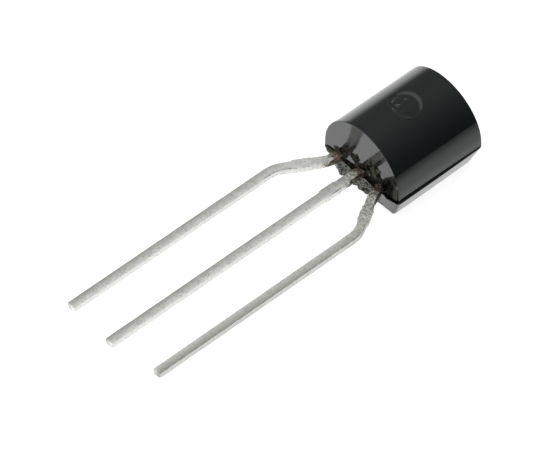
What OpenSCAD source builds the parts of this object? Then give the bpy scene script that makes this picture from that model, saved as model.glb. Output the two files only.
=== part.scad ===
// TO-92 transistor with splayed leads, lying on the flat of its case.
// +Z is up, the leads run towards -X, and the origin is at the middle of the underside.

/* [Case] */
// Length of the case, from its lead end to its far end
case_len = 4.84; // [4.3:0.02:5.3]
// Depth of the case, from the flat to the crown of the round
case_depth = 3.76; // [3.5:0.02:4.2]
// Radius of the rounded back
round_r = 2.29; // [2.15:0.01:2.5]
// Height of the parting plane above the flat
part_h = 1.14; // [1.0:0.02:1.3]
// Amount by which the flat half stands out around the round half
ledge = 0.1; // [0.04:0.01:0.16]
// Width of the flat
flat_w = 3.8; // [3.4:0.05:4.2]
// Setback of the flat from the parting plane at each end
flat_setback = 0.2; // [0.05:0.01:0.3]
// Radius of the flat half's upright corners
corner_r = 0.25; // [0.1:0.01:0.35]
// Lean of the far end's upper half
far_lean = 0.12; // [0.02:0.01:0.2]

/* [Marks of the mould] */
// Distance from the lead end to the centre of the pin mark
mark_x = 2.4; // [1.5:0.05:3.3]
// Diameter of the pin mark
mark_d = 1.4; // [1.2:0.05:1.8]
// Depth of the pin mark
mark_depth = 0.06; // [0.03:0.01:0.1]
// Diameter of the raised ring inside the pin mark
ring_d = 0.8; // [0.5:0.05:0.9]
// Width and height of the raised ring
ring_w = 0.08; // [0.05:0.01:0.12]

/* [Leads] */
// Width of a lead
lead_w = 0.43; // [0.38:0.01:0.52]
// Thickness of the lead frame
lead_t = 0.35; // [0.3:0.01:0.45]
// Pitch of the leads at the case
pitch = 1.27; // [1.2:0.01:1.35]
// Pitch of the formed leads
formed_pitch = 2.54; // [2.3:0.02:2.8]
// Length of the base lead outside the case
base_len = 14.15; // [12.5:0.05:15]
// Length of the collector lead outside the case
collector_len = 14.3; // [12.5:0.05:15]
// Length of the emitter lead outside the case
emitter_len = 13.95; // [12.5:0.05:15]
// Straight run before the base lead's first bend
base_start = 0.28; // [0.1:0.02:0.6]
// Straight run before the emitter lead's first bend
emitter_start = 0.2; // [0.1:0.02:0.6]
// Splay angle of the base lead
base_splay = 30; // [26:1:36]
// Splay angle of the emitter lead
emitter_splay = 31; // [26:1:36]
// Radius of the bend next to the case, on the middle of the lead
bend_r = 0.9; // [0.5:0.05:1.1]
// Radius of the bend that turns the lead straight again
knee_r = 1.5; // [0.8:0.05:1.7]
// Distance from the case to the stub of the dam bar, along the lead
dam_start = 1.4; // [1.25:0.05:1.6]
// Length of the stub of the dam bar
dam_len = 0.85; // [0.5:0.05:1]
// Amount by which the stub stands out on each side of a lead
dam_out = 0.05; // [0.02:0.01:0.1]

/* [Inside the case] */
// Distance from the lead end to the middle of the chip
chip_x = 2.3; // [2.0:0.05:2.6]
// Length of the paddle under the chip
paddle_len = 1.8; // [1.4:0.05:2.2]
// Width of the paddle under the chip
paddle_w = 1.4; // [1.2:0.05:1.5]
// Length of the bonding pad on each outer lead
pad_len = 0.9; // [0.7:0.05:1.2]
// Width of the bonding pad on each outer lead
pad_w = 0.64; // [0.55:0.01:0.7]
// Side of the square chip
die_w = 0.6; // [0.5:0.02:0.9]
// Thickness of the chip
die_t = 0.22; // [0.15:0.01:0.3]
// Thickness of the layer that holds the chip down
attach_t = 0.03; // [0.02:0.005:0.05]
// Margin of that layer around the chip
attach_rim = 0.05; // [0.03:0.01:0.1]
// Diameter of a bond wire
wire_d = 0.05; // [0.04:0.005:0.06]
// Diameter of the ball that ties a wire to the chip
ball_d = 0.14; // [0.12:0.01:0.16]
// Height of the ball, and of the flattened end on the pad
ball_h = 0.06; // [0.06:0.005:0.08]
// Length of the flattened end on the pad
wedge_len = 0.18; // [0.15:0.01:0.22]
// Sideways place of a ball on the chip
ball_y = 0.16; // [0.12:0.01:0.2]
// Rise of a wire's loop above the line between its ends
loop_rise = 0.3; // [0.2:0.02:0.45]

/* [Hidden] */
$fn = 96;
// straight pieces that each bend is drawn with
bend_steps = 12;
// upright edge of the flat half at the parting plane
land = 0.02;
// overshoot of a cutting shape past the surface it cuts
over = 0.5;
// axis of the round
round_z = case_depth - round_r;
// the lead end's place, with the origin midway between the longest lead's tip and the far end
face_x = (max(base_len, collector_len, emitter_len) - case_len - ledge) / 2;
// upper face of the lead frame, and of the chip on it
frame_z = part_h + lead_t;
die_z = frame_z + attach_t;
die_top = die_z + die_t;
// sideways travel of an outer lead between its two bends
splay_out = formed_pitch - pitch;

// Everything is drawn from the lead end of the round half, then set in its place.
module from_face() {
    translate([face_x, 0, 0]) children();
}

// Points on one side of a path of [x, y, heading, half width] stations.
function side_points(path, side) =
    [for (s = path) [s[0] - side * s[3] * sin(s[2]), s[1] + side * s[3] * cos(s[2])]];

// A strip of lead frame that follows such a path.
module strip(path) {
    left = side_points(path, 1);
    right = side_points(path, -1);
    translate([0, 0, part_h]) linear_extrude(lead_t)
        polygon(concat(left, [for (i = [len(right) - 1 : -1 : 0]) right[i]]));
}

// Stations of the dam bar's stub, on a straight run that starts at p after some length of lead.
function dam_stub(p, run_before, heading) = [
    for (step = [[0, 0], [0, dam_out], [dam_len, dam_out], [dam_len, 0]])
        let (along = dam_start - run_before + step[0])
        [p[0] + along * cos(heading), p[1] + along * sin(heading), heading, lead_w / 2 + step[1]]
];

// Stations round a bend that turns from one heading to the next, about a centre.
function bend_path(centre, radius, from_heading, to_heading) = [
    for (i = [0 : bend_steps])
        let (heading = from_heading + (to_heading - from_heading) * i / bend_steps)
        let (side = to_heading < from_heading ? 1 : -1)
        [centre[0] - side * radius * sin(heading), centre[1] + side * radius * cos(heading), heading, lead_w / 2]
];

// An outer lead on the +Y side: pad, straight run, two opposite bends, straight run to the tip.
module outer_lead(length, start, splay) {
    half = lead_w / 2;
    bends_out = (bend_r + knee_r) * (1 - cos(splay));
    slope = (splay_out - bends_out) / sin(splay);
    knee_x = -start - (bend_r + knee_r) * sin(splay) - slope * cos(splay);
    slope_from = [-start - bend_r * sin(splay), pitch + bend_r * (1 - cos(splay))];
    strip(concat(
        [[chip_x + pad_len / 2, pitch, 180, pad_w / 2],
         [chip_x - pad_len / 2, pitch, 180, pad_w / 2],
         [chip_x - pad_len / 2, pitch, 180, half]],
        bend_path([-start, pitch + bend_r], bend_r, 180, 180 - splay),
        dam_stub(slope_from, start + bend_r * splay * PI / 180, 180 - splay),
        bend_path([knee_x, formed_pitch - knee_r], knee_r, 180 - splay, 180),
        [[-length, formed_pitch, 180, half]]
    ));
}

// Base lead, tinned copper alloy, on the +Y side.
module base_lead() {
    color([0.76, 0.76, 0.73]) from_face() outer_lead(base_len, base_start, base_splay);
}

// Emitter lead, tinned copper alloy, on the -Y side.
module emitter_lead() {
    color([0.76, 0.76, 0.73]) from_face() mirror([0, 1, 0])
        outer_lead(emitter_len, emitter_start, emitter_splay);
}

// Collector lead, tinned copper alloy, straight, with the paddle that carries the chip.
module collector_lead() {
    half = lead_w / 2;
    color([0.76, 0.76, 0.73]) from_face() strip(concat(
        [[chip_x + paddle_len / 2, 0, 180, paddle_w / 2],
         [chip_x - paddle_len / 2, 0, 180, paddle_w / 2],
         [chip_x - paddle_len / 2, 0, 180, half]],
        dam_stub([0, 0], 0, 180),
        [[-collector_len, 0, 180, half]]
    ));
}

// Layer of silver-filled epoxy between the chip and the paddle.
module die_attach() {
    side = die_w + 2 * attach_rim;
    color([0.6, 0.6, 0.58]) from_face()
        translate([chip_x - side / 2, -side / 2, frame_z]) cube([side, side, attach_t]);
}

// Silicon chip.
module silicon_die() {
    color([0.3, 0.32, 0.38]) from_face()
        translate([chip_x - die_w / 2, -die_w / 2, die_z]) cube([die_w, die_w, die_t]);
}

// Gold wire from the chip to the +Y pad: a ball, a loop on a circular arc, a flattened end.
module bond_wire() {
    rise = die_top - frame_z;
    reach = pitch - ball_y;
    chord = sqrt(reach * reach + rise * rise);
    loop_r = (chord * chord / 4 + loop_rise * loop_rise) / (2 * loop_rise);
    half_turn = asin(chord / 2 / loop_r);
    tilt = atan2(rise, reach);
    drop = loop_r * cos(half_turn);
    mid_y = (ball_y + pitch) / 2 - drop * sin(tilt);
    mid_z = (die_top + frame_z + ball_h) / 2 - drop * cos(tilt);
    translate([chip_x, ball_y, die_top]) cylinder(d = ball_d, h = ball_h);
    translate([chip_x - ball_d / 2, pitch - wedge_len / 2, frame_z]) cube([ball_d, wedge_len, ball_h]);
    translate([chip_x, mid_y, mid_z]) rotate([90, 0, 90]) rotate([0, 0, 90 - tilt - half_turn])
        rotate_extrude(angle = 2 * half_turn) translate([loop_r, 0]) circle(d = wire_d);
}

module base_wire() {
    color([0.85, 0.65, 0.2]) from_face() bond_wire();
}

module emitter_wire() {
    color([0.85, 0.65, 0.2]) from_face() mirror([0, 1, 0]) bond_wire();
}

// Flat half of the case: a block with rounded corners that narrows from the parting plane to the flat.
module flat_half() {
    hull() for (level = [[part_h - land, case_len / 2 + ledge, round_r + ledge],
                         [0, case_len / 2 + ledge - flat_setback, flat_w / 2]])
        for (sx = [-1, 1])
            for (sy = [-1, 1])
                translate([case_len / 2 + sx * (level[1] - corner_r), sy * (level[2] - corner_r), level[0]])
                    cylinder(r = corner_r, h = land, $fn = 32);
}

// Round half of the case: short straight sides under a half round, its far end leaning in.
module round_half() {
    intersection() {
        rotate([90, 0, 90]) linear_extrude(case_len) union() {
            translate([0, round_z]) circle(r = round_r);
            translate([-round_r, part_h]) square([2 * round_r, round_z - part_h]);
        }
        translate([0, round_r + over, 0]) rotate([90, 0, 0]) linear_extrude(2 * (round_r + over))
            polygon([[0, part_h], [case_len, part_h], [case_len - far_lean, case_depth], [0, case_depth]]);
    }
}

// Round bar along the case, on the axis of the round.
module round_core(radius) {
    translate([-over, 0, round_z]) rotate([0, 90, 0]) cylinder(r = radius, h = case_len + 2 * over);
}

// Sunk mark of the ejector pin on the crown, with a raised ring left on its floor.
module pin_mark() {
    translate([mark_x, 0, round_z]) difference() {
        cylinder(d = mark_d, h = round_r + over);
        translate([-mark_x, 0, -round_z]) round_core(round_r - mark_depth);
        intersection() {
            difference() {
                cylinder(d = ring_d + ring_w, h = round_r + over);
                cylinder(d = ring_d - ring_w, h = round_r + over);
            }
            translate([-mark_x, 0, -round_z]) round_core(round_r - mark_depth / 2);
        }
    }
}

// Epoxy case, moulded in one piece around the lead frame, the chip and its wires.
module epoxy_case() {
    color([0.15, 0.16, 0.16]) difference() {
        from_face() {
            flat_half();
            difference() {
                round_half();
                pin_mark();
            }
        }
        base_lead();
        collector_lead();
        emitter_lead();
        die_attach();
        silicon_die();
        base_wire();
        emitter_wire();
    }
}

epoxy_case();
base_lead();
collector_lead();
emitter_lead();
silicon_die();
die_attach();
base_wire();
emitter_wire();
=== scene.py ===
# TO-92 transistor with splayed leads, lying on the flat of its case on a white table.

import math
from collections import namedtuple

import bmesh
import bpy
import numpy as np
from mathutils import Matrix, Vector, noise


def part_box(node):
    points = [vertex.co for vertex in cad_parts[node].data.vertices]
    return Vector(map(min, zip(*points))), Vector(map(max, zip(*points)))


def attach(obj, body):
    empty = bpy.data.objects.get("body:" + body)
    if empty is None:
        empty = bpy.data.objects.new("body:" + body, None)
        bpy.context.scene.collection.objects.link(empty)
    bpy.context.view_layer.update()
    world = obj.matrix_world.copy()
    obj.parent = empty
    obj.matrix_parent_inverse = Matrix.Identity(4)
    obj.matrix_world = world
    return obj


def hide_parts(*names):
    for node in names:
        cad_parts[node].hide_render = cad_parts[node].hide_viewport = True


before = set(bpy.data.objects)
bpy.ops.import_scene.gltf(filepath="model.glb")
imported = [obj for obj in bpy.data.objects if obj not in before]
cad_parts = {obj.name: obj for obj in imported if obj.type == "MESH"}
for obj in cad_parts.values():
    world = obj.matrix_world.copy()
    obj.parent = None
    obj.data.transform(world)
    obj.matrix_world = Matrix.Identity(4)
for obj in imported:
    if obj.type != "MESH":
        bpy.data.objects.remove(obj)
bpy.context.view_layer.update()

# Case: black moulding epoxy, pressed in one shot around the lead frame. Its round half and its flat
# half meet at the parting plane, where the flat half stands out by a small ledge. The ejector pin
# leaves a sunk mark on the crown, and resin creeps out around the roots of the leads.
MM = 0.001
case_low, case_high = (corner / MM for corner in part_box("epoxy_case"))
lead_low, lead_high = (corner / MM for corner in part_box("collector_lead"))
LEDGE = 0.1
FLAT_WIDTH = 3.8
FLAT_SETBACK = 0.2
CORNER_RADIUS = 0.13
WORN_CORNER = 0.32
FAR_CORNER = 0.26
FAR_NARROWING = 0.045
FAR_LEAN = 0.12
FOOT_DEPTH = 0.1
FOOT_TUCK = 0.06
EDGE_RADIUS = 0.035
CASE_SPACING = 0.12
CASE_CREASE = 38
part_z = lead_low.z
crown_z = case_high.z
round_radius = case_high.y - LEDGE
round_z = crown_z - round_radius
face_x = case_low.x + LEDGE
round_length = case_high.x - LEDGE - face_x


def smooth_step(value, low, high):
    """0 at low, 1 at high, an even S between them and held beyond; low may be above high."""
    t = np.clip((np.asarray(value, float) - low) / (high - low), 0, 1)
    return t * t * (3 - 2 * t)


def spaced(low, high, step):
    """Even places from low to high, both included, about a step apart."""
    return np.linspace(low, high, max(2, int(math.ceil((high - low) / step)) + 1))


def rounding(count):
    """Run and inset of places round an edge of the case, from the end face on."""
    bend = np.linspace(0, math.pi / 2, count)
    return EDGE_RADIUS * (1 - np.cos(bend)), EDGE_RADIUS * (1 - np.sin(bend))


def lofted(name, rings, slots=1, slot=0):
    """A closed mesh through rings of points in mm, each ring closed, with a flat face at each end. It has
    so many material slots, still empty, and uses the one numbered slot."""
    rings = np.asarray(rings, float) * MM
    count, around = rings.shape[:2]
    faces = [tuple(range(around - 1, -1, -1)), tuple((count - 1) * around + k for k in range(around))]
    for i in range(count - 1):
        here = i * around
        there = here + around
        for k in range(around):
            after = (k + 1) % around
            faces.append((here + k, here + after, there + after, there + k))
    mesh = bpy.data.meshes.new(name)
    mesh.from_pydata(rings.reshape(-1, 3).tolist(), [], faces)
    skin = bmesh.new()
    skin.from_mesh(mesh)
    bmesh.ops.recalc_face_normals(skin, faces=skin.faces)
    skin.to_mesh(mesh)
    skin.free()
    for _ in range(slots):
        mesh.materials.append(None)
    mesh.polygons.foreach_set("material_index", [slot] * len(mesh.polygons))
    piece = bpy.data.objects.new(name, mesh)
    bpy.context.scene.collection.objects.link(piece)
    return piece


# The pin's own mark: a sunk disc, deeper on the side away from the leads, its wall widest there and on
# the opposite side, with arcs of a broken ring and nubs on its floor. All are in mm, and turns in
# radians from the far end: an arc is (radius, middle of its turn, half its turn, height) and a nub is
# (along, across, height).
PIN_X = 2.42
PIN_Y = -0.03
PIN_RADIUS = 0.78
PIN_SINK = 0.035
PIN_SPACING = 0.013
PIN_MARGIN = 0.12
ARC_WIDTH = 0.04
NUB_WIDTH = 0.06
PIN_ARCS = (
    (0.515, 1.94, 0.55, 0.026),
    (0.6, 3.14, 0.3, 0.026),
    (0.46, -2.3, 0.4, 0.014),
)
PIN_NUBS = (
    (0.2, 0.144, 0.03),
    (-0.24, 0.053, 0.028),
    (-0.283, 0.13, 0.022),
    (-0.33, 0.21, 0.018),
)


def pin_depth(along, across):
    """Depth of the pin mark at a place in mm from its centre."""
    reach = np.hypot(along, across)
    turn = np.arctan2(across, along)
    far_side = 0.5 + 0.5 * np.cos(turn - 0.2)
    lead_side = 0.5 - 0.5 * np.cos(turn)
    wall = 0.035 + 0.25 * far_side ** 3 + 0.25 * lead_side ** 5
    floor = PIN_SINK + 0.04 * far_side * np.clip(reach / PIN_RADIUS, 0, 1)
    raised = 0
    for radius, middle, half_turn, height in PIN_ARCS:
        off = np.mod(turn - middle + math.pi, 2 * math.pi) - math.pi
        raised = raised + height * np.exp(-((reach - radius) / ARC_WIDTH) ** 2 - (off / half_turn) ** 4)
    nubs = 0
    for nub_along, nub_across, height in PIN_NUBS:
        gap = (along - nub_along) ** 2 + (across - nub_across) ** 2
        nubs = nubs + height * np.exp(-gap / NUB_WIDTH ** 2)
    return np.maximum(floor * smooth_step(PIN_RADIUS - reach, 0, wall) - raised - nubs, 0)


def round_half():
    """Round half as rings along the case, close together at the pin mark, its foot sunk in the flat half."""
    fine = PIN_RADIUS + PIN_MARGIN
    fine_turn = fine / round_radius
    crown = math.pi / 2
    turns = np.concatenate([
        spaced(0, crown - fine_turn, math.radians(1.5))[:-1],
        spaced(crown - fine_turn, crown + fine_turn, PIN_SPACING / round_radius)[:-1],
        spaced(crown + fine_turn, math.pi, math.radians(1.5)),
    ])
    middle = np.concatenate([
        spaced(EDGE_RADIUS, PIN_X - fine, CASE_SPACING)[1:-1],
        spaced(PIN_X - fine, PIN_X + fine, PIN_SPACING),
        spaced(PIN_X + fine, round_length - EDGE_RADIUS, CASE_SPACING)[1:-1],
    ])
    end_run, end_inset = rounding(6)
    stations = np.concatenate([end_run, middle, round_length - end_run[::-1]])
    insets = np.concatenate([end_inset, np.zeros(len(middle)), end_inset[::-1]])
    rings = []
    for x, inset in zip(stations, insets):
        radius = round_radius - inset
        y = -radius * np.cos(turns)
        z = round_z + radius * np.sin(turns)
        lean = 1 - FAR_LEAN / round_length * (z - part_z) / (crown_z - part_z)
        sink = pin_depth(x * lean - PIN_X, (turns - crown) * round_radius - PIN_Y)
        y = y + sink * np.cos(turns)
        z = z - sink * np.sin(turns)
        upper = [(face_x + x * k, v, w) for k, v, w in zip(lean, y, z)]
        flank = [
            (radius, round_z * 0.6 + part_z * 0.4),
            (radius, part_z - 0.01),
            (radius - FOOT_TUCK, part_z - FOOT_DEPTH),
        ]
        down = [(face_x + x, v, w) for v, w in flank]
        up = [(face_x + x, -v, w) for v, w in flank[::-1]]
        rings.append(upper + down + up)
    return lofted("round_half", rings, 2)


def end_relief(y, z):
    """How far torn resin stands out of the flat half's lead end at (y, z), from under the base lead to the
    emitter lead."""
    level = (z - case_low.z) / (part_z - case_low.z)
    sides = smooth_step(y, -1.0, -0.8) * smooth_step(y, 1.6, 1.35)
    extent = float(sides * smooth_step(level, 1.0, 0.85))
    lumps = noise.noise(Vector((y * 4.2, z * 4.2, 3.1)))
    crumbs = noise.noise(Vector((y * 13, z * 13, 7.7)))
    return extent * (0.045 + 0.03 * (1 - level) + 0.13 * lumps + 0.08 * crumbs)


def corner_arc(x, y, radius, turn, z):
    """A quarter turn of places round (x, y), from turn degrees on."""
    angles = [math.radians(turn + step) for step in spaced(0, 90, 9)]
    return [(x + radius * math.cos(t), y + radius * math.sin(t), z) for t in angles]


def flat_half():
    """Flat half as rings from the flat up to the parting plane. Its upright corners are rounded, the +Y one
    at the lead end worn, and the ledge narrows towards the rounder -Y one at the far end."""
    half_long = (case_high.x - case_low.x) / 2
    middle_x = (case_high.x + case_low.x) / 2
    edge_run, edge_inset = rounding(5)
    middle = spaced(EDGE_RADIUS, part_z - EDGE_RADIUS, 0.03)[1:-1]
    levels = np.concatenate([edge_run, middle, part_z - edge_run[::-1]])
    insets = np.concatenate([edge_inset, np.zeros(len(middle)), edge_inset[::-1]])
    rings = []
    for z, inset in zip(levels, insets):
        rise = z / part_z
        a = half_long - FLAT_SETBACK * (1 - rise) - inset
        b = FLAT_WIDTH / 2 + (case_high.y - FLAT_WIDTH / 2) * rise - inset
        far_b = b - FAR_NARROWING
        corner = CORNER_RADIUS - inset
        worn = WORN_CORNER - inset
        far = FAR_CORNER - inset
        ring = corner_arc(middle_x + (a - corner), b - corner, corner, 0, z)
        for x in np.linspace(a - corner, worn - a, 24)[1:-1]:
            ring.append((middle_x + x, b, z))
        ring += corner_arc(middle_x + (worn - a), b - worn, worn, 90, z)
        for y in np.linspace(b - worn, corner - b, 180)[1:-1]:
            ring.append((middle_x - a - end_relief(y, z) * (1 - inset / EDGE_RADIUS), y, z))
        ring += corner_arc(middle_x + (corner - a), corner - b, corner, 180, z)
        for share in np.linspace(0, 1, 24)[1:-1]:
            x = corner - a + (2 * a - corner - far) * share
            ring.append((middle_x + x, -b + FAR_NARROWING * share ** 2, z))
        ring += corner_arc(middle_x + (a - far), far - far_b, far, 270, z)
        for y in np.linspace(far - far_b, b - corner, 12)[1:-1]:
            ring.append((middle_x + a, y, z))
        rings.append(ring)
    return lofted("flat_half", rings, 2)


# Flux skins on the lead end: place (y, z) in mm, half width across and up, and height. Where none stands,
# the skin stays sunk in the case. The skins are partly flux and crept resin, and partly dark sheets of
# painted shade and painted reflection of the leads around their roots, most of all by the emitter lead and
# along the ledge.
SKIN_FROM = 0.3
SKIN_ABOVE = 1.25
SKIN_SUNK = 0.03
SKIN_ROOT = 0.4
ROUND_MARGIN = 0.06
CORNER_OVERLAP = 0.04
FLUX_AND_SHADE_SKINS = (
    (1.28, 1.4, 0.38, 0.3, 0.07),
    (1.7, 1.06, 0.42, 0.13, 0.03),
    (0.62, 1.2, 0.6, 0.09, 0.06),
    (0.4, 1.82, 0.27, 0.27, 0.04),
    (0.02, 1.4, 0.36, 0.34, 0.06),
    (-0.3, 1.45, 0.2, 0.3, 0.06),
    (-0.66, 1.2, 0.6, 0.1, 0.06),
    (-0.78, 1.72, 0.46, 0.56, 0.045),
    (-1.3, 1.45, 0.34, 0.3, 0.06),
    (-1.45, 1.35, 0.3, 0.3, 0.12),
    (-1.68, 1.55, 0.3, 0.66, 0.1),
    (-1.95, 1.5, 0.34, 0.5, 0.07),
    (-2.05, 1.2, 0.4, 0.1, 0.04),
)


def end_outline(z):
    """The lead end at height z: where its surface lies, and how far it's plain to either side."""
    if z >= part_z:
        half_width = math.sqrt(round_radius ** 2 - (z - round_z) ** 2)
        return face_x, ROUND_MARGIN - half_width, half_width - ROUND_MARGIN
    half_width = FLAT_WIDTH / 2 + (case_high.y - FLAT_WIDTH / 2) * z / part_z
    surface_x = case_low.x + FLAT_SETBACK * (1 - z / part_z)
    low_y = CORNER_RADIUS - CORNER_OVERLAP - half_width
    return surface_x, low_y, half_width - WORN_CORNER + CORNER_OVERLAP


def skin_height(y, z):
    """How far the highest of the flux skins stands out at (y, z)."""
    return max(height * (1.15 - ((y - middle_y) / wide) ** 2 - ((z - middle_z) / tall) ** 2)
               for middle_y, middle_z, wide, tall, height in FLUX_AND_SHADE_SKINS)


def skins_of_flux_and_shade():
    """Ragged skins of flux and crept resin around the roots, from inside the lead end outwards, partly dark
    sheets of painted shade and painted reflection of the leads.
    """
    rings = []
    for z in spaced(SKIN_FROM, part_z + SKIN_ABOVE, 0.02):
        surface_x, low_y, high_y = end_outline(z)
        ring = []
        for y in np.linspace(low_y, high_y, 200):
            lumps = noise.noise(Vector((y * 3.5, z * 3.5, 1.7)))
            crumbs = noise.noise(Vector((y * 11, z * 11, 5.2)))
            height = skin_height(y, z) + 0.04 * (lumps + 0.35 * crumbs)
            ring.append((surface_x - max(-SKIN_SUNK, height), y, z))
        inside = [(face_x + SKIN_ROOT, ring[k][1], z) for k in (-1, 0)]
        rings.append(ring + inside)
    return lofted("skins_of_flux_and_shade", rings, 2, 1)


def united(piece, *others):
    """piece with the others merged into it, as one closed skin."""
    for other in others:
        merge = piece.modifiers.new("merge", "BOOLEAN")
        merge.operation = "UNION"
        merge.solver = "EXACT"
        merge.object = other
        bpy.context.view_layer.update()
        result = piece.evaluated_get(bpy.context.evaluated_depsgraph_get())
        merged = bpy.data.meshes.new_from_object(result)
        piece.modifiers.clear()
        piece.data = merged
        bpy.data.objects.remove(other)
    return piece


case = united(round_half(), flat_half(), skins_of_flux_and_shade())
case.name = case.data.name = "moulded_case"
case.data.shade_smooth()
case.data.set_sharp_from_angle(angle=math.radians(CASE_CREASE))
# The end faces, the flat and the ledge are shaded as plain faces.
for face in case.data.polygons:
    low = face.center.z < (part_z + 0.01) * MM
    if abs(face.normal.x) > 0.995 or (abs(face.normal.z) > 0.9995 and low):
        face.use_smooth = False


class Nodes:
    """Adds nodes to a material's or the world's tree. Inputs are sockets of other nodes or plain values."""

    def __init__(self, tree):
        self.tree = tree

    def add(self, kind, inputs=(), **settings):
        node = self.tree.nodes.new("ShaderNode" + kind)
        for key, value in settings.items():
            setattr(node, key, value)
        for key, value in dict(inputs).items():
            self.feed(node.inputs[key], value)
        return node

    def feed(self, socket, value):
        if isinstance(value, bpy.types.NodeSocket):
            self.tree.links.new(value, socket)
        else:
            socket.default_value = value

    def math(self, operation, *values):
        return self.add("Math", dict(enumerate(values)), operation=operation).outputs[0]

    def plus(self, first, *others):
        for other in others:
            first = self.math("ADD", first, other)
        return first

    def times(self, first, *others):
        for other in others:
            first = self.math("MULTIPLY", first, other)
        return first

    def lack(self, value):
        """What is missing from value to 1."""
        return self.math("SUBTRACT", 1.0, value)

    def fade(self, value, low, high, at_low=0.0, at_high=1.0):
        """at_low at low, at_high at high, straight between and held beyond; low may be above high."""
        return self.add("MapRange", {0: value, 1: low, 2: high, 3: at_low, 4: at_high}).outputs[0]

    def mix(self, factor, first, second):
        first, second = ((*c, 1) if isinstance(c, tuple) else c for c in (first, second))
        return self.add("Mix", {"Factor": factor, 6: first, 7: second}, data_type="RGBA").outputs[2]

    def curve(self, value, low, high, levels):
        """A grey level read off evenly spaced levels as value goes from low to high."""
        node = self.add("ValToRGB", {0: self.fade(value, low, high)})
        stops = node.color_ramp.elements
        while len(stops) < len(levels):
            stops.new(0.5)
        for k, (stop, level) in enumerate(zip(stops, levels)):
            stop.position = k / (len(levels) - 1)
            stop.color = (level, level, level, 1)
        return node.outputs[0]

    def noise(self, place, scale, detail=4, roughness=0.5):
        inputs = {"Vector": place, "Scale": scale, "Detail": detail, "Roughness": roughness}
        return self.add("TexNoise", inputs).outputs["Fac"]

    def place_mm(self):
        place = self.add("TexCoord").outputs["Object"]
        return self.add("VectorMath", {0: place, "Scale": 1 / MM}, operation="SCALE").outputs[0]

    def parts(self, vector):
        return self.add("SeparateXYZ", {0: vector}).outputs

    def facing(self):
        return self.parts(self.add("NewGeometry").outputs["Normal"])

    def bump(self, height, depth_mm):
        return self.add("Bump", {"Height": height, "Strength": 1.0, "Distance": depth_mm * MM}).outputs[0]

    def shade(self, **inputs):
        """Feeds the shader's own inputs, named in small letters with underscores."""
        shader = self.tree.nodes["Principled BSDF"]
        for key, value in inputs.items():
            self.feed(shader.inputs[key.replace("_", " ").title().replace("Ior", "IOR")], value)


def new_finish(name):
    """A new material and the means to add its nodes."""
    finish = bpy.data.materials.new(name)
    finish.use_nodes = True
    return finish, Nodes(finish.node_tree)


# Its finish: glossy black and a little cloudy, dusty on the ledge, and pale and crumbly where resin is torn
# between the leads. A pale line there, just under the ledge, is a painted highlight of the ledge's edge.
black_epoxy, n = new_finish("black_epoxy")
place = n.place_mm()
x, y, z = n.parts(place)
cloud = n.noise(place, 0.7, 3)
crumbs = n.noise(place, 7, 4, 0.7)
ragged = n.times(n.math("SUBTRACT", n.noise(place, 3, 3, 0.7), 0.5), 1.5)
ragged_y = n.plus(y, ragged)
ragged_z = n.plus(z, ragged)
on_end = n.fade(x, face_x + 0.12, face_x + 0.1)
below_ledge = n.fade(z, part_z - 0.01, part_z - 0.02)
torn = n.times(on_end, below_ledge, n.fade(ragged_y, -1.1, -0.95), n.fade(ragged_y, 1.6, 1.45),
               n.fade(ragged_z, -0.05, 0.1))
# Painted highlight: a pale line just under the ledge, along its edge.
ledge_highlight = n.fade(z, part_z - 0.09, part_z - 0.06)
pale = n.times(torn, n.math("MAXIMUM", n.fade(crumbs, 0.47, 0.54), n.times(ledge_highlight, 0.8)))
black = n.mix(cloud, (0.0025, 0.0045, 0.0045), (0.004, 0.0068, 0.0066))
on_ledge = n.fade(z, part_z + 0.02, part_z + 0.005)
dust = n.times(n.fade(n.facing()[2], 0.85, 0.97), on_ledge, n.fade(x, face_x - 3, case_high.x))
black = n.mix(dust, black, (0.032, 0.034, 0.032))
gloss = n.plus(n.fade(cloud, 0.3, 0.75, 0.06, 0.11), n.times(torn, 0.6))
relief = n.plus(n.times(n.noise(place, 28, 2), 0.0001), n.times(torn, crumbs, 0.03))
colour = n.mix(pale, black, (0.28, 0.285, 0.255))
n.shade(base_color=colour, roughness=gloss, ior=1.58, normal=n.bump(relief, 1.0))

# The flux skins are a brown black with paler specks. The specks are fewest in a patch by the emitter lead
# and low down, as painted shade and painted reflection of the leads. At the +Y end of the row lies dust, and
# at the -Y end a pale patch is a painted highlight of the case's corner edge.
flux_and_painted_shade, n = new_finish("flux_and_painted_shade")
place = n.place_mm()
_, y, z = n.parts(place)
mottle = n.noise(place, 8, 4, 0.7)
# Painted shade and painted reflection of the leads: by the emitter lead, and low down near the parting
# plane.
emitter_shade = n.times(n.fade(y, -1.2, -1.35), n.fade(z, 2.1, 1.9))
low_shade = n.fade(z, 1.75, 1.4)
# A painted highlight of the case's corner edge at the -Y end; dust at the +Y end.
corner_highlight = n.times(n.fade(y, -1.95, -2.08), n.fade(z, 1.22, 1.32), 1.15)
dust_and_highlight = n.math("MAXIMUM", n.fade(y, 1.5, 1.75), corner_highlight)
thin = n.fade(n.noise(place, 3.2, 2), 0.5, 0.62)
specks = n.math("MAXIMUM", n.fade(mottle, 0.56, 0.66), n.times(thin, 0.7))
specks = n.times(specks, n.lack(emitter_shade), n.lack(n.times(low_shade, 0.6)))
pale = n.math("MAXIMUM", specks, n.times(dust_and_highlight, 0.7))
crust = n.mix(pale, (0.0015, 0.0013, 0.0009), (0.085, 0.085, 0.066))
n.shade(base_color=crust, roughness=n.fade(mottle, 0.9, -0.1), ior=1.12, normal=n.bump(mottle, 0.02))

case.data.materials[0] = black_epoxy
case.data.materials[1] = flux_and_painted_shade
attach(case, "root")
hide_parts("epoxy_case")


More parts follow.
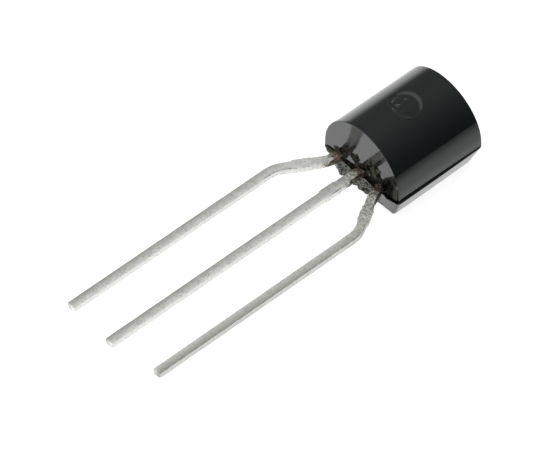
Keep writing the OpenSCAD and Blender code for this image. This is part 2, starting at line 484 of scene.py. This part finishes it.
# Leads: stamped from one copper-alloy frame, tin-plated, then formed so that the outer two splay from
# 1.27 to 2.54 mm pitch. Each keeps the torn stub of the dam bar that joined them, and inside the case
# it ends in the pad or the paddle that the chip and its wires sit on.
LEAD_WIDTH = 0.43
LEAD_PITCH = 1.27
FORMED_PITCH = 2.54
BEND_RADIUS = 0.9
KNEE_RADIUS = 1.5
DAM_START = 1.4
DAM_LENGTH = 0.85
DAM_OUT = 0.05
DAM_SLOPE = 0.03
CHIP_X = 2.3
PAD = (0.9, 0.64)
PADDLE = (1.8, 1.4)
ROOT_RUN = 0.4
TIP_RUN = 0.14
TIP_ROUNDING = 0.035
BURR_RUN = 0.09
RING_STEP = 0.03
LEAD_CREASE = 60
half_thick = (lead_high.z - lead_low.z) / 2


def turn_path(centre, radius, start, end):
    """Places and headings in degrees round a bend. One that falls is a single chord."""
    side = 1 if end < start else -1
    path = []
    for heading in spaced(start, end, 1.5):
        turn = math.radians(heading)
        along = centre[0] - side * radius * math.sin(turn)
        path.append((along, centre[1] + side * radius * math.cos(turn), heading))
    return path


def splayed_line(length, start, splay):
    """Middle line of an outer lead on the +Y side, from the lead end of the case to the tip."""
    turn = math.radians(splay)
    travel = FORMED_PITCH - LEAD_PITCH - (BEND_RADIUS + KNEE_RADIUS) * (1 - math.cos(turn))
    knee_x = -start - (BEND_RADIUS + KNEE_RADIUS) * math.sin(turn) - travel / math.tan(turn)
    return ([(0, LEAD_PITCH, 180)]
            + turn_path((-start, LEAD_PITCH + BEND_RADIUS), BEND_RADIUS, 180, 180 - splay)
            + turn_path((knee_x, FORMED_PITCH - KNEE_RADIUS), KNEE_RADIUS, 180 - splay, 180)
            + [(-length, FORMED_PITCH, 180)])


def section(half, worn):
    """Places round a lead's section in mm from its middle, across and up. One upper edge has the radius
    worn. A corner is (side across, side up, radius, first angle, places on the straight after it)."""
    corners = ((1, 1, worn, 0, 12), (-1, 1, 0.03, 90, 8), (-1, -1, 0.05, 180, 10), (1, -1, 0.05, 270, 6))
    arcs = []
    for side, top, radius, turn, _ in corners:
        middle = side * (half - radius), top * (half_thick - radius)
        angles = np.radians(turn + np.linspace(0, 90, 6))
        arcs.append([[middle[0] + radius * math.cos(t), middle[1] + radius * math.sin(t)] for t in angles])
    points = []
    for arc, following, corner in zip(arcs, arcs[1:] + arcs[:1], corners):
        straight = np.linspace(arc[-1], following[0], corner[-1])[1:-1]
        points += arc + [tuple(point) for point in straight]
    return points


def dam_stub(run):
    """How far the stub of the dam bar stands out on each side."""
    end = DAM_START + DAM_LENGTH
    rise = smooth_step(run, DAM_START - DAM_SLOPE, DAM_START + DAM_SLOPE)
    return DAM_OUT * (rise - smooth_step(run, end - DAM_SLOPE, end + DAM_SLOPE))


def lead(name, line, pad, mirrored, worn, rough_reach, burrs, seed):
    """One lead: pad or paddle inside the case, then the formed run to its cut tip. Solder and flux have
    left it rough as far as rough_reach. Burrs are (run, side, height)."""
    line = np.array(line, float)
    runs = np.concatenate([[0], np.cumsum(np.hypot(*np.diff(line[:, :2], axis=0).T))])
    total = runs[-1]
    pad_length, pad_width = pad
    pad_end = -(CHIP_X - pad_length / 2)
    stations = [
        (-(CHIP_X + pad_length / 2), pad_width / 2),
        (pad_end - 0.001, pad_width / 2),
        (pad_end, LEAD_WIDTH / 2),
    ]
    for run in spaced(-ROOT_RUN, total, RING_STEP):
        torn = 1 + 0.3 * noise.noise(Vector((run * 12, seed, 0)))
        stations.append((run, LEAD_WIDTH / 2 + dam_stub(run) * torn))
    middle_z = (lead_high.z + lead_low.z) / 2
    rings = []
    for run, half in stations:
        x, y, heading = (np.interp(run, runs, line[:, k]) for k in range(3))
        wobble = 0
        rough = 0
        if run < 0:
            x = -run
        if run > 0:
            wobble = 0.008 * abs(noise.noise(Vector((run * 1.3, seed, 4.4))))
            rough = 0.004 + 0.018 * float(smooth_step(run, rough_reach, rough_reach * 0.35))
        direction = math.radians(heading)
        to_tip = max(0, 1 - (total - run) / TIP_RUN)
        ring = []
        for across, up in section(half, worn):
            spot = Vector((x * 6 + seed, across * 6, up * 6))
            sink = rough * max(0, 0.35 + noise.noise(spot) + 0.6 * noise.noise(spot * 2.7))
            for burr_run, side, height in burrs:
                bulge = math.exp(-((run - burr_run) / BURR_RUN) ** 2)
                sink -= height * bulge * max(0, side * across / half) ** 4
            sink += wobble + TIP_ROUNDING * to_tip ** 2 * (0.3 if up > 0 else 1.8)
            outward = Vector(((across / half) ** 5, (up / half_thick) ** 5)).normalized()
            across -= sink * outward.x
            up -= sink * outward.y
            along = x - across * math.sin(direction)
            aside = y + across * math.cos(direction)
            ring.append((face_x + along, -aside if mirrored else aside, middle_z + up))
        rings.append(ring)
    piece = lofted(name, rings)
    piece.data.shade_smooth()
    piece.data.set_sharp_from_angle(angle=math.radians(LEAD_CREASE))
    return piece


def lead_length(node):
    """Length of a lead outside the case."""
    return face_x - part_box(node)[0].x / MM


def dull_tin(name, middle_y, traits):
    """Dull tin, a little brighter on one side and scuffed along the lead, speckled where it's rough, and
    with some bare copper at the root. It is darkened brown at the root as painted reflection of the black
    case, further out on the sides that face -Y as painted shade, and a painted dark line of shade runs along
    a stretch of its -Y upper edge."""
    finish, n = new_finish(name)
    place = n.place_mm()
    x, y, _ = n.parts(place)
    out = n.math("SUBTRACT", face_x, x)
    mottle = n.noise(place, 3.5, 5, 0.7)
    speck = n.noise(place, 9, 4, 0.7)
    along = n.add("VectorMath", {0: place, 1: (0.6, 22, 22)}, operation="MULTIPLY").outputs[0]
    scuff = n.noise(along, 1, 2)
    facing = n.facing()
    cut_side = n.fade(n.math("ABSOLUTE", facing[1]), 0.6, 0.9)
    # Sides that face -Y count as nearer the root, so the root's painted shade and its roughness reach
    # further out there.
    uneven = n.plus(out, n.times(n.math("SUBTRACT", mottle, 0.5), 1.2),
                    n.times(n.fade(facing[1], -0.3, -0.8), -0.45))
    rough = n.fade(uneven, traits.rough_reach, traits.rough_reach * 0.3)

    seam_y = middle_y + 0.075
    half_seam = 0.16 * traits.brighter_side
    brighter_half = n.fade(n.plus(y, n.times(mottle, 0.15)), seam_y - half_seam, seam_y + half_seam)
    near_tip = n.fade(out, 4, 13)
    plain = n.mix(near_tip, (0.61, 0.61, 0.57), (0.50, 0.50, 0.46))
    bright = n.mix(near_tip, (0.90, 0.90, 0.87), (0.98, 0.98, 0.95))
    tin = n.mix(brighter_half, plain, bright)
    tin = n.mix(n.times(n.fade(mottle, 0.42, 0.62), 0.25), tin, (0.45, 0.45, 0.42))
    # The cut sides take a tone set per lead; the base lead's darker tone is painted shade.
    tin = n.mix(n.times(cut_side, 0.9), tin, (traits.side_tone, traits.side_tone, traits.side_tone - 0.03))
    tin = n.mix(n.times(n.fade(speck, 0.52, 0.36), 0.4), tin, (0.35, 0.35, 0.32))
    tin = n.mix(traits.darker, tin, (0.50, 0.49, 0.44))

    # A painted dark line of shade along a stretch of the -Y upper edge.
    line_from, line_to = traits.edge_line
    on_edge_shade = n.times(n.fade(out, line_from - 0.3, line_from), n.fade(out, line_to + 0.3, line_to),
                      n.fade(facing[1], -0.25, -0.5), n.fade(facing[2], 0.2, 0.45),
                      n.fade(mottle, 0.4, 0.5))
    tin = n.mix(n.times(on_edge_shade, 0.8), tin, (0.12, 0.12, 0.10))

    solder = n.mix(n.fade(speck, 0.42, 0.58), (0.30, 0.295, 0.25), (0.88, 0.87, 0.80))
    solder = n.mix(n.times(traits.darker, 1.2), solder, (0.28, 0.275, 0.235))
    # Painted reflection of the black case: the root darkened brown.
    root_shade = n.mix(n.fade(speck, 0.46, 0.6), (0.035, 0.028, 0.02), (0.24, 0.22, 0.17))
    copper = n.times(n.fade(n.noise(place, 3, 2), 0.42, 0.56), n.fade(out, 0.6, 0.3), traits.bared)
    colour = n.mix(n.times(rough, 0.9), tin, solder)
    colour = n.mix(n.fade(uneven, traits.burnt_reach, traits.burnt_reach * 0.5), colour, root_shade)
    colour = n.mix(copper, colour, (0.34, 0.23, 0.20))

    relief = n.plus(n.times(speck, n.plus(n.times(rough, 0.6), 0.08)), n.times(scuff, 0.08))
    gloss = n.plus(n.times(scuff, 0.2), 0.3)
    upper_edge = n.times(n.fade(facing[1], -0.2, -0.5), n.fade(facing[2], 0.15, 0.4))
    metal = n.math("SUBTRACT", 0.7, n.times(upper_edge, 0.5 - 3 * traits.darker))
    n.shade(base_color=colour, metallic=metal, roughness=gloss, normal=n.bump(relief, 0.03))
    return finish


# What differs from lead to lead, runs in mm from the case: where the splay starts and its angle, the worn
# edge's radius, how bright the cut sides are, which side of the top is brighter, how far out the root is
# darkened by painted reflection and shade and how far it is rough, how much copper is bared, how much darker
# the tin is, the stretch of the -Y upper edge with a painted shade line, and burrs as (run, side, height).
# The base lead's darker cut sides are painted shade.
Traits = namedtuple("Traits", "start splay worn side_tone brighter_side burnt_reach rough_reach bared "
                              "darker edge_line burrs")
LEADS = {
    "base_lead": Traits(
        start=0.28, splay=30, worn=0.05, side_tone=0.74, brighter_side=-1,
        burnt_reach=0.55, rough_reach=1.0, bared=0.5, darker=0.0,
        edge_line=(2.2, 3.2), burrs=((1.05, 1, 0.035), (1.3, 1, 0.02))),
    "collector_lead": Traits(
        start=0, splay=0, worn=0.05, side_tone=0.93, brighter_side=-1,
        burnt_reach=0.6, rough_reach=1.2, bared=0.9, darker=0.0,
        edge_line=(0.5, 1.9), burrs=((0.9, 1, 0.03), (1.2, 1, 0.02))),
    "emitter_lead": Traits(
        start=0.2, splay=31, worn=0.07, side_tone=0.93, brighter_side=1,
        burnt_reach=0.8, rough_reach=3.4, bared=0.15, darker=0.15,
        edge_line=(2.4, 14), burrs=((0.8, -1, 0.02),)),
}
for number, (node, traits) in enumerate(LEADS.items()):
    length = lead_length(node)
    low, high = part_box(node)
    if traits.splay:
        line = splayed_line(length, traits.start, traits.splay)
        pad = PAD
        middle_y = math.copysign(FORMED_PITCH, low.y)
    else:
        line = [(0, 0, 180), (-length, 0, 180)]
        pad = PADDLE
        middle_y = (low.y + high.y) / 2 / MM
    piece = lead("tinned_" + node, line, pad, node == "emitter_lead", traits.worn, traits.rough_reach,
                 traits.burrs, 11.0 * number + 2)
    piece.data.materials[0] = dull_tin("tin_of_" + node, middle_y, traits)
    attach(piece, "root")
    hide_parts(node)


# Chip and its wires: a silicon chip glued to the collector's paddle with silver-filled epoxy, and two
# gold wires that loop from it to the outer leads' pads. The case hides them all.
def inner_finish(node, name, dark, light, metallic, smooth, dull, scale):
    """A mottled finish for one of the sealed pieces."""
    finish, n = new_finish(name)
    mottle = n.noise(n.place_mm(), scale)
    gloss = n.fade(mottle, 0.3, 0.7, smooth, dull)
    n.shade(base_color=n.mix(mottle, dark, light), metallic=metallic, roughness=gloss,
            normal=n.bump(mottle, 0.001))
    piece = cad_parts[node]
    piece.data.materials.clear()
    piece.data.materials.append(finish)


inner_finish("silicon_die", "etched_silicon", (0.10, 0.11, 0.14), (0.15, 0.16, 0.20), 0.4, 0.12, 0.25, 9)
inner_finish("die_attach", "silver_epoxy", (0.42, 0.42, 0.40), (0.58, 0.58, 0.55), 0.3, 0.5, 0.7, 30)
for wire in ("base_wire", "emitter_wire"):
    inner_finish(wire, "gold_" + wire, (0.78, 0.55, 0.16), (0.88, 0.66, 0.26), 1.0, 0.18, 0.3, 40)

# Table and light: a white table without an edge under an even soft light. What mirrors the table sees
# it bright near the part and behind it, and darker on the -Y side, where the room is dark.
TABLE_SIZE = 2
TABLE_GAP = 0.00001
bpy.ops.mesh.primitive_plane_add(size=TABLE_SIZE, location=(0, 0, case_low.z * MM - TABLE_GAP))
table = bpy.context.object
table.name = "table"
white_table, n = new_finish("white_table")
y = n.parts(n.place_mm())[1]
seen = n.add("LightPath").outputs
mirrored = n.math("MAXIMUM", seen["Is Glossy Ray"], seen["Is Transmission Ray"])
# The dip in these levels just on the -Y side of the part is a painted shadow of the part, seen in
# reflections.
near = n.curve(y, -16, 4, (0.51, 0.56, 0.62, 0.73, 0.84, 0.96, 0.93, 0.97, 1.33, 1.51, 1.56))
far = n.fade(y, -120, -16)
n.shade(base_color=(0.5, 0.5, 0.5, 1), roughness=0.9, specular_ior_level=0.0)
bare = n.tree.nodes["Principled BSDF"].outputs[0]
white = n.add("Emission", {"Strength": n.times(seen["Is Camera Ray"], 0.8)}).outputs[0]
lit = n.add("AddShader", {0: bare, 1: white}).outputs[0]
glow = n.add("Emission", {"Strength": n.times(near, n.math("POWER", far, 2))}).outputs[0]
shown = n.add("MixShader", {0: mirrored, 1: lit, 2: glow}).outputs[0]
n.feed(n.tree.nodes["Material Output"].inputs[0], shown)
table.data.materials.append(white_table)

room = bpy.data.worlds.new("room")
bpy.context.scene.world = room
room.use_nodes = True
room.node_tree.nodes.clear()
n = Nodes(room.node_tree)
x, y, z = n.parts(n.add("TexCoord").outputs["Generated"])
seen = n.add("LightPath").outputs
across = n.curve(y, -1, 1, (0.03, 0.15, 0.26, 0.37, 0.39, 0.31, 0.27))
low_band = n.times(n.fade(z, 0.25, 0.0), n.fade(y, 0.2, 0.8), 1.1)
overhead = n.times(n.fade(x, 0.35, 0.0), n.fade(y, -0.1, 0.3), n.fade(z, 0.4, 0.6), 0.75)
level = n.mix(seen["Is Glossy Ray"], (0.75, 0.75, 0.75), n.plus(across, low_band, overhead))
sky = n.add("Background", {0: n.mix(seen["Is Camera Ray"], level, (1, 1, 1))}).outputs[0]
n.add("OutputWorld", {0: sky})

lamp = bpy.data.lights.new("soft_lamp", "AREA")
lamp.shape = "DISK"
lamp.size = 0.12
lamp.energy = 0.12
lamp_place = bpy.data.objects.new("soft_lamp", lamp)
lamp_place.location = (-0.03, 0.06, 0.16)
lamp_place.visible_glossy = False
lamp_place.rotation_euler = (Vector((0, 0, 0)) - lamp_place.location).to_track_quat("-Z", "Y").to_euler()
bpy.context.scene.collection.objects.link(lamp_place)

# Camera: a long lens that looks from beyond the lead tips, on the -Y side, about 48 degrees down.
lens = bpy.data.cameras.new("camera")
lens.sensor_width = 36
lens.lens = 465.4
lens.clip_start = 0.01
lens.clip_end = 10
camera = bpy.data.objects.new("camera", lens)
back = Vector((-0.45157, -0.49118, 0.74487))
right = Vector((0.73631, -0.67665, 0.00018))
turned = Matrix((right, back.cross(right), back)).transposed().to_4x4()
turned.translation = Vector((-0.132525, -0.143526, 0.219496))
camera.matrix_world = turned
bpy.context.scene.collection.objects.link(camera)
bpy.context.scene.camera = camera
bpy.context.scene.view_settings.view_transform = "Standard"
